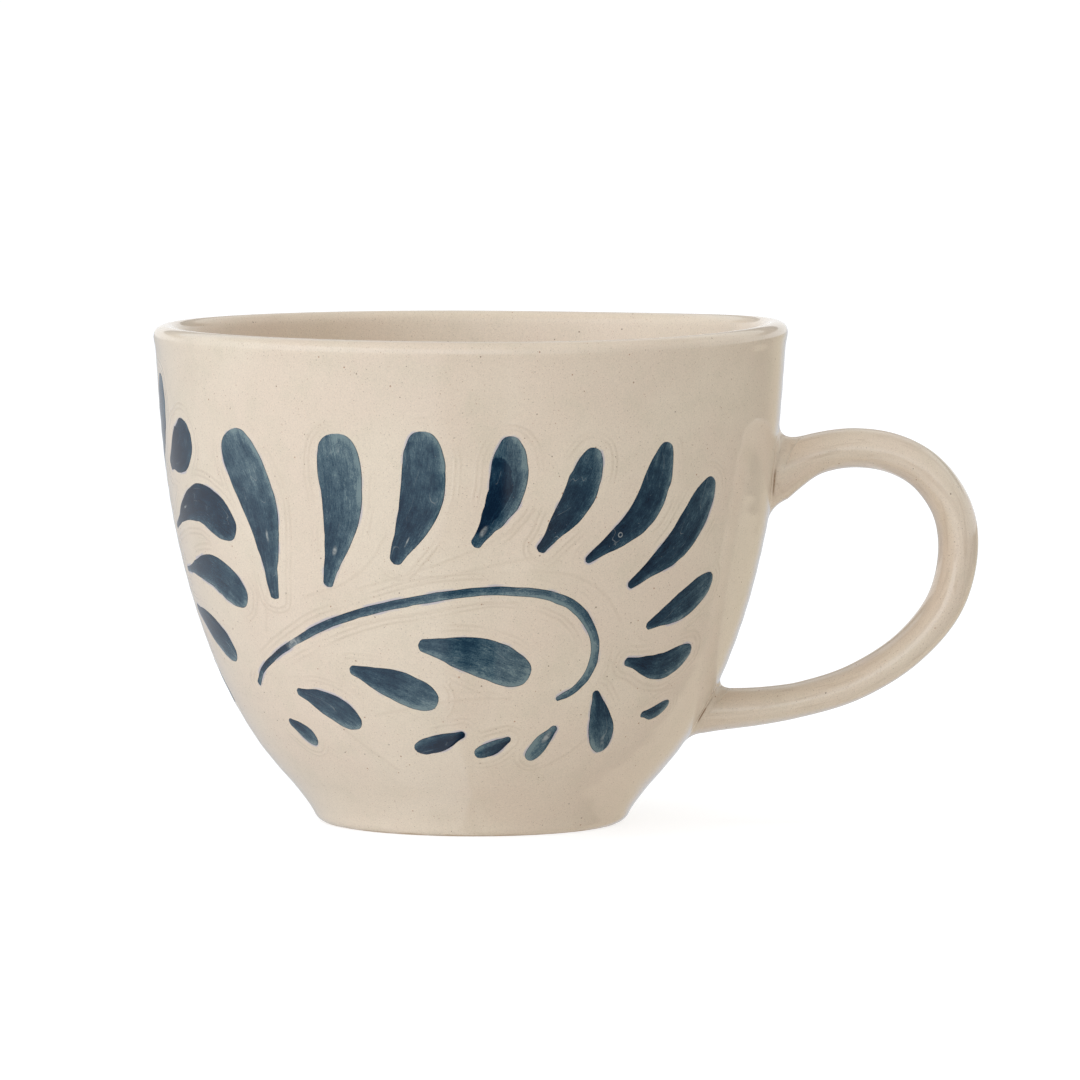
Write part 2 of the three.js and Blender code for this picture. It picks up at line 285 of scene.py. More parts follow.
class Nodes:
    """Short ways to add nodes to a node tree."""

    def __init__(self, tree):
        self.tree = tree

    def add(self, kind, inputs=None, **settings):
        made = self.tree.nodes.new(kind)
        for key, value in settings.items():
            setattr(made, key, value)
        for key, value in (inputs or {}).items():
            self.feed(made.inputs[key], value)
        return made

    def feed(self, socket, value):
        if isinstance(value, bpy.types.NodeSocket):
            self.tree.links.new(value, socket)
        else:
            socket.default_value = value

    def math(self, operation, a, b=0.0):
        made = self.add("ShaderNodeMath", operation=operation)
        self.feed(made.inputs[0], a)
        self.feed(made.inputs[1], b)
        return made.outputs[0]

    def span(self, value, low, high, to_low=0.0, to_high=1.0):
        """Eases a value from low..high to to_low..to_high."""
        made = self.add("ShaderNodeMapRange", interpolation_type="SMOOTHSTEP")
        for k, number in enumerate([value, low, high, to_low, to_high]):
            self.feed(made.inputs[k], number)
        return made.outputs[0]

    def mix(self, share, a, b, how="MIX"):
        made = self.add("ShaderNodeMix", data_type="RGBA", blend_type=how)
        self.feed(made.inputs[0], share)
        self.feed(made.inputs[6], a)
        self.feed(made.inputs[7], b)
        return made.outputs[2]

    def ramp(self, value, stops):
        """A colour between stops, [place, colour]."""
        made = self.add("ShaderNodeValToRGB", {0: value})
        elements = made.color_ramp.elements
        while len(elements) < len(stops):
            elements.new(0.5)
        for element, (place, colour) in zip(elements, stops):
            element.position, element.color = place, colour
        return made.outputs[0]

    def grey(self, value):
        return self.add("ShaderNodeCombineColor", {0: value, 1: value, 2: value}).outputs[0]

    def scaled(self, vector, scale):
        return self.add("ShaderNodeVectorMath", {0: vector, 1: scale}, operation="MULTIPLY").outputs[0]

    def places(self):
        """The point being shaded, in mm."""
        return self.scaled(self.add("ShaderNodeTexCoord").outputs["Object"], (1 / MM, 1 / MM, 1 / MM))

    def total(self, *terms):
        """The sum of some numbers, each a socket or (socket less a middle, times a weight)."""
        summed = None
        for term in terms:
            if isinstance(term, tuple):
                value, middle, weight = term
                term = self.math("MULTIPLY", self.math("SUBTRACT", value, middle), weight)
            summed = term if summed is None else self.math("ADD", summed, term)
        return summed

    def noise(self, where, scale, detail=2.0, roughness=0.5, distortion=0.0):
        made = self.add("ShaderNodeTexNoise", {"Vector": where, "Scale": scale, "Detail": detail})
        self.feed(made.inputs["Roughness"], roughness)
        self.feed(made.inputs["Distortion"], distortion)
        return made.outputs["Fac"]

    def cells(self, where, scale):
        """Distance to the nearest of scattered points, and a random colour for each."""
        made = self.add("ShaderNodeTexVoronoi", {"Vector": where, "Scale": scale})
        parts = self.add("ShaderNodeSeparateColor", {0: made.outputs["Color"]})
        return made.outputs["Distance"], parts.outputs

    def field(self, name, output="Fac"):
        return self.add("ShaderNodeAttribute", attribute_name=name).outputs[output]

    def bump(self, height, distance, after=None):
        made = self.add("ShaderNodeBump", {"Height": height, "Distance": distance * MM, "Strength": 1.0})
        if after:
            self.feed(made.inputs["Normal"], after)
        return made.outputs[0]


class Shader(Nodes):
    """A material with one Principled shader."""

    def __init__(self, name):
        self.material = bpy.data.materials.new(name)
        self.material.use_nodes = True
        super().__init__(self.material.node_tree)

    def set(self, values):
        for key, value in values.items():
            self.feed(self.tree.nodes["Principled BSDF"].inputs[key], value)
        return self.material


def srgb(red, green, blue):
    """A colour from 0..255 display values."""
    def linear(v):
        v /= 255
        return v / 12.92 if v <= 0.04045 else ((v + 0.055) / 1.055) ** 2.4
    return (linear(red), linear(green), linear(blue), 1.0)


def specks(s, where, scale, share, smallest, largest):
    """Scattered round specks. Returns their mask and a random number for each."""
    distance, random = s.cells(where, scale)
    radius = s.span(random[0], 1 - share, 1, smallest * scale, largest * scale)
    present = s.math("GREATER_THAN", random[0], 1 - share)
    inside = s.math("SUBTRACT", radius, distance)
    mask = s.span(inside, -0.03 * scale, 0.03 * scale)
    return s.math("MULTIPLY", mask, present), random[1]


CREAM = srgb(231, 214, 192)
CREAM_PINK = srgb(229, 209, 188)
CREAM_OLIVE = srgb(220, 205, 182)
SPECK_BROWN = srgb(116, 86, 66)
SPECK_RUST = srgb(164, 108, 74)
BARE_CLAY = srgb(196, 172, 144)
# A dark brown painted into the crease at each handle root, standing in for the shade there: painted shade.
CREASE_SHADE = srgb(128, 92, 60)
SMEARED = srgb(204, 182, 158)
GUIDE_TINT = srgb(198, 178, 156)
HALO = srgb(158, 160, 190)

# Layers of iron specks: how many per mm, what share of them show, smallest and largest
# radius in mm, and strength.
SPECKS = (
    (2.4, 0.85, 0.04, 0.08, 0.34), (1.25, 0.8, 0.06, 0.11, 0.42), (0.47, 0.8, 0.10, 0.17, 0.7),
)


def line_at(s, value, half):
    """1 where a value is nought, falling away to 0 at half either side."""
    return s.span(s.math("ABSOLUTE", value), half, 0.1 * half)


def glassy_surface(s, where):
    """The slow waves and fine dimples of a fired glaze, as a normal."""
    return s.bump(s.noise(where, 0.6, 2), 0.003, after=s.bump(s.noise(where, 0.12, 2), 0.03))


def pressed_lines(s, where):
    """The lines pressed into the wall round the paint and the freehand sweeps, as a mask."""
    patchy = s.span(s.noise(where, 0.075, 2), 0.44, 0.62)
    sweep = s.math("MULTIPLY", line_at(s, s.field("sweep"), 0.5), s.span(s.field("sweep_near"), 1.3, 0.6))
    marks = s.math("MULTIPLY", sweep, 0.7)
    for line in GUIDE_LINES:
        mark = s.math("MULTIPLY", line_at(s, s.math("SUBTRACT", s.field("guide"), line), 0.42), patchy)
        marks = s.math("MAXIMUM", marks, mark)
    return marks


def glaze(name, painted=False, jointed=False, pulled=False):
    """Clear glaze over cream clay, with iron specks, soft clouding and a fine grain."""
    s = Shader(name)
    where = s.places()
    colour = s.mix(s.span(s.noise(where, 0.045, 3), 0.36, 0.66, 0, 0.8), CREAM, CREAM_PINK)
    colour = s.mix(s.span(s.noise(where, 0.14, 4, 0.6), 0.45, 0.78, 0, 0.6), colour, CREAM_OLIVE)
    grain = s.span(s.noise(where, 3.6, 3, 0.7), 0.3, 0.7, 0.93, 1.05)
    colour = s.mix(1.0, colour, s.grey(grain), "MULTIPLY")
    for scale, share, smallest, largest, strength in SPECKS:
        mask, tone = specks(s, where, scale, share, smallest, largest)
        iron = s.mix(s.span(tone, 0.3, 0.7), SPECK_BROWN, SPECK_RUST)
        colour = s.mix(s.math("MULTIPLY", mask, strength), colour, iron)
    normal = glassy_surface(s, where)
    if painted:
        marks = pressed_lines(s, where)
        colour = s.mix(s.math("MULTIPLY", marks, 0.24), colour, GUIDE_TINT)
        normal = s.bump(marks, 0.05, after=normal)
        near_paint = s.span(s.field("from_paint"), 0.45, 0.05)
        bleed = s.math("MULTIPLY", near_paint, s.span(s.noise(where, 0.16, 1), 0.5, 0.64))
        colour = s.mix(s.math("MULTIPLY", bleed, 0.5), colour, HALO)
    if pulled:
        streaks = s.noise(s.scaled(s.field("pulled", "Vector"), (0.55, 0.55, 0.07)), 1.0, 3, 0.6, 1.2)
        colour = s.mix(s.span(streaks, 0.5, 0.7, 0, 0.45), colour, SMEARED)
    if jointed:
        smears = s.span(s.noise(where, 0.3, 3, 0.6, 1.5), 0.5, 0.66, 0, 0.4)
        colour = s.mix(smears, colour, SMEARED)
        # Darker tan along the crease where the slip turns from the wall to the handle, and dark brown in
        # patches where the crease is deepest: painted shade in the crease.
        crease = s.field("crease")
        colour = s.mix(s.math("MULTIPLY", crease, 0.3), colour, SMEARED)
        patches = s.span(s.noise(where, 0.3, 3), 0.42, 0.6, 0.1, 0.9)
        colour = s.mix(s.math("MULTIPLY", s.span(crease, 0.5, 1), patches), colour, CREASE_SHADE)
    foot = s.add("ShaderNodeSeparateXYZ", {0: where}).outputs[2]
    waver = s.math("MULTIPLY", s.noise(where, 0.3), 0.6)
    bare = s.span(s.math("SUBTRACT", foot, waver), 0.15, -0.1)
    colour = s.mix(bare, colour, BARE_CLAY)
    glazed = s.span(s.noise(where, 0.3), 0.3, 0.7, 0.035, 0.06)
    roughness = s.math("ADD", glazed, s.math("MULTIPLY", bare, 0.6))
    return s.set({"Base Color": colour, "Roughness": roughness, "IOR": 1.5, "Normal": normal})


# Cobalt from where it lies thick to where it is washed thin.
WASH = (
    (0.0, srgb(6, 28, 48)), (0.25, srgb(20, 46, 65)), (0.5, srgb(42, 68, 83)),
    (0.75, srgb(76, 98, 108)), (1.0, srgb(116, 134, 136)),
)
PAINT_RIM = srgb(14, 34, 50)
PAINT_BARE = srgb(170, 172, 168)

# Where glaze bubbles and scrapes left the paint thin: stroke, mm across, mm along it,
# and half sizes across and along.
WORN = (
    ("front_outer_leaf_4", 0.1, 3.4, 0.7, 1.6), ("front_outer_leaf_2", 0, 7.4, 0.6, 1.3),
    ("front_outer_leaf_1", -0.4, 12, 0.4, 1.5), ("front_outer_leaf_3", -0.5, 5, 0.2, 1.5),
    ("front_stem", 0, 17.5, 1.8, 2.6), ("front_base_leaf_3", 0, 2.6, 0.8, 1.6),
    ("left_outer_leaf_7", 0.5, 11, 0.3, 1.6), ("back_outer_leaf_3", 0.2, 6, 0.4, 1.2),
)
# Where the brush went over a stroke twice and left a darker patch with a sharp edge.
TWICE_BRUSHED = (
    ("front_outer_leaf_4", 1.6, 10.5, 2.4, 7.5), ("left_outer_leaf_7", 0, 4, 5.0, 6.0),
    ("left_outer_leaf_6", 0, 7, 1.8, 2.6), ("front_stem", 0, 9.5, 3.0, 5.5),
)
BURST = ("front_outer_leaf_6", 0.2, 8.4, 0.42)         # one burst bubble, and its radius


def cobalt_wash(numbers):
    """Cobalt brushed thinly under the glaze: streaks along the stroke, a dark rim, pooled tails."""
    s = Shader("cobalt_wash")
    where = s.places()
    stroke = s.field("stroke", "Vector")         # mm across, mm along, number of the stroke
    edge = s.field("edge")                       # mm in from the outline
    along = s.field("along")                     # 0 at the tail to 1 at the head
    side = s.field("side")                       # -1 to 1 across
    streaks = s.noise(s.scaled(stroke, (1.1, 0.12, 7.3)), 1.0, 3, 0.55, 0.6)
    fine = s.noise(s.scaled(stroke, (7.0, 0.9, 3.1)), 1.0, 3, 0.65)
    clouds = s.noise(where, 0.3, 3, 0.55)
    grain = s.noise(where, 4.0, 2, 0.6)

    def off_mark(node, across, length, half_across, half_along):
        """Distance from a mark on one stroke, 1 being its edge."""
        centre = (-across / half_across, -length / half_along, -numbers[node] * 3.0)
        sized = s.scaled(stroke, (1 / half_across, 1 / half_along, 3.0))
        moved = s.add("ShaderNodeVectorMath", {0: sized, 1: centre}, operation="ADD").outputs[0]
        return s.add("ShaderNodeVectorMath", {0: moved}, operation="LENGTH").outputs["Value"]

    rim = s.math("MULTIPLY", s.span(edge, 1.7, 0.2), s.span(side, 0.9, -0.9, 0.05, 0.3))
    wash = s.total(
        s.field("tone"), (streaks, 0.5, 0.6), (fine, 0.5, 0.8), (clouds, 0.5, 0.8), (grain, 0.5, 0.6),
        s.span(along, 0.2, 0.95, -0.16, 0.14), s.span(side, 0.8, -0.8, -0.06, 0.08), rim,
    )
    for mark in TWICE_BRUSHED:
        wavy = s.total(off_mark(*mark), (clouds, 0.5, 0.8))
        wash = s.total(wash, s.span(wavy, 1.04, 0.96, 0, -0.3))
    colour = s.ramp(wash, WASH)
    colour = s.mix(s.span(edge, 0.3, 0.08, 0, 0.8), colour, PAINT_RIM)
    vein = s.math("SUBTRACT", s.noise(s.scaled(stroke, (0.35, 0.09, 5.7)), 1.0, 1), 0.5)
    light = s.math("MULTIPLY", line_at(s, vein, 0.008), s.span(clouds, 0.5, 0.62, 0, 0.3))
    nick, _ = specks(s, where, 0.9, 0.5, 0.04, 0.1)
    light = s.math("MAXIMUM", light, s.math("MULTIPLY", nick, 0.25))
    patchy = s.span(s.noise(where, 1.3, 3, 0.6), 0.36, 0.6, 0.25, 0.8)
    for mark in WORN:
        light = s.math("MAXIMUM", light, s.math("MULTIPLY", s.span(off_mark(*mark), 1.0, 0.2), patchy))
    node, across, length, radius = BURST
    burst = line_at(s, s.math("SUBTRACT", off_mark(node, across, length, radius, radius), 1.0), 0.4)
    light = s.math("MAXIMUM", light, s.math("MULTIPLY", burst, s.span(clouds, 0.4, 0.5, 0.25, 0.75)))
    colour = s.mix(light, colour, PAINT_BARE)
    normal = glassy_surface(s, where)
    roughness = s.span(fine, 0.3, 0.7, 0.035, 0.07)
    return s.set({"Base Color": colour, "Roughness": roughness, "IOR": 1.5, "Normal": normal})


# ---- brushwork ----


def stroke_outline(node):
    """The loop round the outer side of a CAD stroke, as [angle, height]."""
    corners, triangles = cad_corners(node)
    a, b, c = (corners[triangles[:, k]] for k in range(3))
    normal = np.cross(b - a, c - a)
    normal /= np.linalg.norm(normal, axis=1)[:, None]
    middle = (a + b + c) / 3
    outward = middle[:, :2] / np.linalg.norm(middle[:, :2], axis=1)[:, None]
    lean = np.einsum("ij,ij->i", normal[:, :2], outward)
    outer = triangles[lean > 0.5]
    after = {}
    edges = {(t[k], t[(k + 1) % 3]) for t in outer.tolist() for k in range(3)}
    for p, q in edges:
        if (q, p) not in edges:
            after[p] = q
    loop = [min(after)]
    while after[loop[-1]] != loop[0]:
        loop.append(after[loop[-1]])
    points = corners[loop]
    angle = np.degrees(np.arctan2(points[:, 0], -points[:, 1]))
    angle = np.degrees(np.unwrap(np.radians(angle)))
    return np.stack([angle, points[:, 2]], axis=1)


def turning(points):
    """How sharply a closed line turns at each of its points, in radians."""
    before, after = points - np.roll(points, 1, axis=0), np.roll(points, -1, axis=0) - points
    cross = before[:, 0] * after[:, 1] - before[:, 1] * after[:, 0]
    return np.abs(np.arctan2(cross, np.einsum("ij,ij->i", before, after)))


def stroke_sides(node):
    """A CAD stroke's middle line and half widths from tail to head, and its mm per degree."""
    loop = stroke_outline(node)
    per_degree = math.radians(float(wall_radius(loop[:, 1].mean())))
    flat = loop * [per_degree, 1]
    half = len(loop) // 2
    turn = turning(flat)
    # Each end is cut square, so its middle lies between two sharp corners.
    corner = np.roll(turn, 1) + np.roll(turn, -1) - 2 * turn
    start = int(np.argmax(corner[:half] + corner[half:]))
    flat = np.roll(flat, -start, axis=0)
    one, other = flat[1:half], flat[:half:-1]
    middle, width = (one + other) / 2, np.linalg.norm(one - other, axis=1) / 2
    first, last = np.linalg.norm(middle[1] - middle[0]), np.linalg.norm(middle[-1] - middle[-2])
    if first < last * 0.98:
        middle, width = middle[::-1], width[::-1]
    return middle, width, per_degree


HEAD_TIP = 0.35              # the round head reaches this far past the CAD stroke's square end
HEAD_FULLNESS = 3.0          # 2 would close the head as an ellipse
TAIL_HALF = 0.6              # half width of a blunt brush tail
TAIL_SPREAD = 1.6            # distance over which a tail's bluntness fades
OUTLINE_WANDER = 0.13        # the short straight dabs of the brush stray this far

# Strokes whose tails were set down broad, as half widths in mm.
BROAD_TAILS = {
    "outer_leaf_1": 0.2, "outer_leaf_2": 0.85, "outer_leaf_3": 1.0, "outer_leaf_4": 1.0,
    "outer_leaf_5": 0.95, "inner_leaf_1": 0.9, "inner_leaf_2": 0.8, "inner_leaf_4": 0.7,
    "base_leaf_4": 0.4, "stem": 0.5,
}
# Strokes that are fuller between tail and head than their drawn widths, 1 being as drawn.
FULLNESS = {
    "outer_leaf_1": 0.66, "outer_leaf_2": 0.6, "outer_leaf_3": 0.76,
    "inner_leaf_1": 0.8, "inner_leaf_2": 0.86, "stem": 0.62,
}
# Strokes that are broader all along than they are drawn.
BROADER = {"base_leaf_2": 1.15, "base_leaf_3": 1.2, "inner_leaf_4": 1.2}
STEM_END_WIDER = 0.2         # the stem keeps its width round its last bend

# How thinly each stroke was painted, from 0 (thick) to 1 (thin).
TONES = {
    "outer_leaf_1": 0.52, "outer_leaf_2": 0.61, "outer_leaf_3": 0.45, "outer_leaf_4": 0.5,
    "outer_leaf_5": 0.35, "outer_leaf_6": 0.32, "outer_leaf_7": 0.33, "outer_leaf_8": 0.44,
    "outer_leaf_9": 0.4, "outer_leaf_10": 0.5,
    "inner_leaf_1": 0.6, "inner_leaf_2": 0.52, "inner_leaf_3": 0.4, "inner_leaf_4": 0.48,
    "base_leaf_1": 0.12, "base_leaf_2": 0.42, "base_leaf_3": 0.76, "base_leaf_4": 0.48, "stem": 0.57,
}
OTHER_SPRAYS = (-0.3, -0.05)     # how far the tones of the other sprays lie from the front one's


def half_widths(kind, width, knots, where):
    """Half widths of a stroke at places along it, from the drawn ones at its knots."""
    length = knots[-1]
    width = BROADER.get(kind, 1) * width.max() * (width / width.max()) ** FULLNESS.get(kind, 1)
    powers = width ** HEAD_FULLNESS
    if kind != "stem":
        knots, powers = knots[:-1], powers[:-1]
    known = np.append(knots, length + HEAD_TIP)
    powers = np.append(powers, 0)
    half = np.maximum(eased(known, powers, where), 1e-6) ** (1 / HEAD_FULLNESS)
    if kind == "stem":
        half += STEM_END_WIDER * smoothstep(0.6, 0.8, where / length) * smoothstep(1, 0.98, where / length)
    tail = BROAD_TAILS.get(kind, TAIL_HALF)
    blunter = math.sqrt(max(tail ** 2 - width[0] ** 2, 0))
    half = np.hypot(half, blunter * np.exp(-((where / TAIL_SPREAD) ** 2)))
    corner = tail * 0.8
    return half * np.sqrt(1 - np.clip(1 - where / corner, 0, 1) ** 2)


def film_faces(rows):
    """The faces of a closed film, whose rows run over its top and back under it."""
    around = 2 * STROKE_COLUMNS
    faces = grid_faces(rows, around)
    last = (rows - 1) * around
    for k in range(STROKE_COLUMNS - 1):
        faces.append([k + 1, k, around - 1 - k, around - 2 - k])
        faces.append([last + k, last + k + 1, last + around - 2 - k, last + around - 1 - k])
    return faces


def brushed(node, number):
    """One brush stroke as a thin closed film: its points, faces, fields and outline."""
    rng = np.random.default_rng(1000 + number)
    kind = node.split("_", 1)[1]
    middle, width, per_degree = stroke_sides(node)
    fine = curve_through(middle, 16)
    knots = lengths_along(fine)[::16]
    length = knots[-1]
    end = fine[-1] - fine[-2]
    fine = np.vstack([fine, fine[-1] + end / np.linalg.norm(end) * HEAD_TIP])
    places = lengths_along(fine)
    rows = max(28, int(length / STROKE_PITCH))
    steps = np.linspace(0, 1, rows)
    share = 0.6 * steps + 0.4 * (1 - np.cos(np.pi * steps)) / 2
    where = 0.01 + share * (length + HEAD_TIP - 0.03)
    half = half_widths(kind, width, knots, where)
    line = at(fine, places, where)
    tangent = np.gradient(line, axis=0)
    tangent /= np.linalg.norm(tangent, axis=1)[:, None]
    across = np.stack([-tangent[:, 1], tangent[:, 0]], axis=1)
    fade = np.minimum(half / 1.2, 1)
    sides = [half + fade * OUTLINE_WANDER * dabs(rng, where) for _ in range(2)]
    columns = np.linspace(-1, 1, STROKE_COLUMNS)
    columns = np.sign(columns) * (1 - (1 - np.abs(columns)) ** 1.5)
    reach = np.where(columns < 0, sides[0][:, None] * columns, sides[1][:, None] * columns)
    flat = line[:, None] + across[:, None] * reach[..., None]
    outline = np.vstack([flat[:, 0], flat[::-1, -1]])
    cells = flat.reshape(-1, 2)
    edge = np.sqrt(((cells[:, None] - outline[None]) ** 2).sum(-1)).min(1)
    angle, height = cells[:, 0] / per_degree, cells[:, 1]
    top = on_wall(angle, height, -0.015 + (FILM + 0.015) * smoothstep(0, FILM_EDGE, edge))
    bottom = on_wall(angle, height, -FILM_ROOT)
    shape = (rows, STROKE_COLUMNS, 3)
    ring = np.concatenate([top.reshape(shape), bottom.reshape(shape)[:, ::-1]], axis=1)

    def doubled(values):
        values = values.reshape(rows, STROKE_COLUMNS)
        return np.concatenate([values, values[:, ::-1]], axis=1).ravel()

    tone = TONES[kind] + (0 if node.startswith("front") else rng.uniform(*OTHER_SPRAYS))
    total = rows * 2 * STROKE_COLUMNS
    lengthwise = np.repeat(where[:, None], STROKE_COLUMNS, axis=1)
    fields = {
        "edge": doubled(edge),
        "along": doubled(np.clip(lengthwise / length, 0, 1)),
        "tone": np.full(total, tone),
        "side": doubled(np.repeat(columns[None], rows, axis=0)),
        "stroke": np.stack([doubled(reach), doubled(lengthwise), np.full(total, float(number))], axis=1),
    }
    border = on_wall(outline[:, 0] / per_degree, outline[:, 1], 0)
    return ring.reshape(-1, 3), film_faces(rows), fields, border


strokes = sorted(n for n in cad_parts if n.endswith("_stem") or "_leaf_" in n)
numbers = {node: number for number, node in enumerate(strokes)}
wash = cobalt_wash(numbers)
borders = []
for node, number in numbers.items():
    points, faces, fields, border = brushed(node, number)
    add_piece(node + "_paint", points, faces, wash, node, fields)
    borders.append(border)


# ---- body ----


def inside_loop(places, loop):
    """Whether each [angle, height] lies inside a closed line of them."""
    found = np.zeros(len(places), bool)
    for p, q in zip(loop, np.roll(loop, -1, axis=0)):
        crosses = (p[1] > places[:, 1]) != (q[1] > places[:, 1])
        rise = q[1] - p[1] if q[1] != p[1] else 1
        found ^= crosses & (places[:, 0] < p[0] + (places[:, 1] - p[1]) * (q[0] - p[0]) / rise)
    return found


def nearest_finder(points):
    """A tree that finds the nearest of some points."""
    tree = kdtree.KDTree(len(points))
    for k, place in enumerate(points):
        tree.insert(place, k)
    tree.balance()
    return tree


def distance_to_paint(points):
    """Distance from each point to the nearest painted outline, below zero under the paint."""
    tree = nearest_finder(np.vstack(borders))
    away = np.array([tree.find(place)[2] for place in points])
    angle = np.degrees(np.arctan2(points[:, 0], -points[:, 1]))
    for loop in borders:
        edge = np.stack([np.degrees(np.arctan2(loop[:, 0], -loop[:, 1])), loop[:, 2]], axis=1)
        edge[:, 0] = np.degrees(np.unwrap(np.radians(edge[:, 0])))
        for turn in (-360, 0, 360):
            here = np.stack([angle + turn, points[:, 2]], axis=1)
            near = np.flatnonzero(((here > edge.min(0)) & (here < edge.max(0))).all(axis=1))
            under = near[inside_loop(here[near], edge)]
            away[under] = -np.abs(away[under])
    return away


def distance_to_sweeps(points):
    """Signed distance from each point to the nearest sweep, and how near it is."""
    samples, sideways = [], []
    for turn, squeeze in SPRAYS:
        for sweep in SWEEPS:
            line = curve_through(np.array(sweep) * [squeeze, 1] + [turn, 0], 40)
            places = on_wall(line[:, 0], line[:, 1], 0)
            ahead = np.gradient(places, axis=0)
            outward = places * [1, 1, 0]
            across = np.cross(ahead, outward)
            samples.append(places)
            sideways.append(across / np.linalg.norm(across, axis=1)[:, None])
    samples, sideways = np.vstack(samples), np.vstack(sideways)
    tree = nearest_finder(samples)
    nearest = np.array([tree.find(place)[1] for place in points])
    away = points - samples[nearest]
    return (away * sideways[nearest]).sum(axis=1), np.linalg.norm(away, axis=1)


def wandering(points):
    """A slow wave through space, between about -1 and 1."""
    x, y, z = points[..., 0], points[..., 1], points[..., 2]
    waves = np.sin(x / 4.1 + 0.9 * np.sin(z / 7)) + np.sin(z / 3.3 + y / 9 + 1.3) + np.sin((x - z) / 5.7 + 2)
    return waves / 2.4


def make_body():
    line = FINE_PROFILE
    pitch = np.full(len(line), INSIDE_PITCH)
    lip = line[:, 1] > LIP_LEVEL
    before_lip = np.arange(len(line)) < LIP_AT
    pitch[before_lip & (line[:, 0] > FOOT_TO)] = WALL_PITCH
    pitch[before_lip & (line[:, 0] <= FOOT_TO)] = UNDERSIDE_PITCH
    pitch[before_lip & (line[:, 0] > FOOT_FROM) & (line[:, 0] <= FOOT_TO)] = LIP_PITCH
    pitch[lip] = LIP_PITCH
    places = lengths_along(line)
    steps = np.diff(places) / ((pitch[1:] + pitch[:-1]) / 2)
    count = np.concatenate([[0], np.cumsum(steps)])
    rings = at(line, places, np.interp(np.linspace(0, count[-1], int(count[-1])), count, places))
    r, z = rings[1:-1, 0], rings[1:-1, 1]
    shoulder = smoothstep(TOP - 4.5, TOP - 2, z) * smoothstep(TOP, TOP - 0.8, z)
    before_top = np.arange(len(z)) < np.argmax(z)
    r = r + LIP_FULLER * shoulder * before_top
    is_outside = before_top & (z > 1)
    angle = np.linspace(0, 360, COLUMNS, endpoint=False)
    a = np.radians(angle)
    grid = np.stack([
        r[:, None] * np.sin(a), -r[:, None] * np.cos(a), np.repeat(z[:, None], COLUMNS, axis=1),
    ], axis=-1)
    stray = unevenness(angle[None], z[:, None]) * smoothstep(-0.4, 1.4, z)[:, None]
    grid[..., 0] += stray * np.sin(a)
    grid[..., 1] -= stray * np.cos(a)
    grid[..., 2] += LIP_RISE * np.maximum(np.sin(a), 0) ** 3 * smoothstep(LIP_RISE_FROM, TOP, z)[:, None]
    away = np.full((len(r), COLUMNS), FAR)
    away[is_outside] = distance_to_paint(grid[is_outside].reshape(-1, 3)).reshape(-1, COLUMNS)
    sweep, sweep_near = np.full(away.shape, FAR), np.full(away.shape, FAR)
    signed, near = distance_to_sweeps(grid[is_outside].reshape(-1, 3))
    sweep[is_outside], sweep_near[is_outside] = signed.reshape(-1, COLUMNS), near.reshape(-1, COLUMNS)
    guide = away + GUIDE_WANDER * wandering(grid)
    ridge = sum(np.exp(-((guide - mark) / GUIDE_SPREAD) ** 2) for mark in GUIDE_LINES) * GUIDE_HEIGHT
    grid[..., 0] += ridge * np.sin(a)
    grid[..., 1] -= ridge * np.cos(a)
    points = np.vstack([grid.reshape(-1, 3), [[0, 0, rings[0, 1]], [0, 0, rings[-1, 1]]]])
    faces = grid_faces(len(r), COLUMNS)
    under, floor = len(points) - 2, len(points) - 1
    last = (len(r) - 1) * COLUMNS
    for k in range(COLUMNS):
        after = (k + 1) % COLUMNS
        faces.append([under, after, k])
        faces.append([floor, last + k, last + after])
    fields = {"from_paint": away, "guide": guide, "sweep": sweep, "sweep_near": sweep_near}
    fields = {field: np.append(values, [FAR, FAR]) for field, values in fields.items()}
    material = glaze("stoneware_glaze", painted=True)
    add_piece("thrown_body", points, faces, material, "body", fields)


make_body()


# ---- handle ----

HANDLE_LINE = curve_through(HANDLE, 24)
HANDLE_PLACES = lengths_along(HANDLE_LINE)
HANDLE_LENGTH = HANDLE_PLACES[-1]


def off_wall(points):
    """How far points stand outside the wall, measured outwards from the axis."""
    return np.hypot(points[..., 0], points[..., 1]) - wall_radius(points[..., 2])


def handle_point(turn, place):
    """Points on the handle, by turn round its section (0 outermost) and mm along its middle."""
    middle = at(HANDLE_LINE, HANDLE_PLACES, place)
    ahead = at(HANDLE_LINE, HANDLE_PLACES, np.minimum(place + 0.2, HANDLE_LENGTH))
    behind = at(HANDLE_LINE, HANDLE_PLACES, np.maximum(place - 0.2, 0))
    tangent = ahead - behind
    tangent /= np.linalg.norm(tangent, axis=-1)[..., None]
    outward = np.stack([-tangent[..., 1], tangent[..., 0]], axis=-1)
    share = place / HANDLE_LENGTH
    away = np.maximum(middle[..., 0] - wall_radius(middle[..., 1]), 0)
    extra = np.where(share < 0.5, UPPER_FLARE, LOWER_FLARE) * np.exp(-away / FLARE_REACH)
    thick = np.interp(share, np.linspace(0, 1, len(HANDLE_HALF_THICK)), HANDLE_HALF_THICK) + extra
    wide = HANDLE_HALF_WIDE + extra
    deeper = UPPER_ROOT_DEEPER * np.exp(-((away / UPPER_ROOT_REACH) ** 2))
    thick = thick + np.where(share < 0.5, deeper, 0)
    across = np.sign(np.cos(turn)) * np.abs(np.cos(turn)) ** SECTION_POWER
    sideways = np.sign(np.sin(turn)) * np.abs(np.sin(turn)) ** SECTION_POWER
    x = middle[..., 0] + outward[..., 0] * thick * across
    z = middle[..., 1] + outward[..., 1] * thick * across
    return np.stack([x, wide * sideways, z], axis=-1)


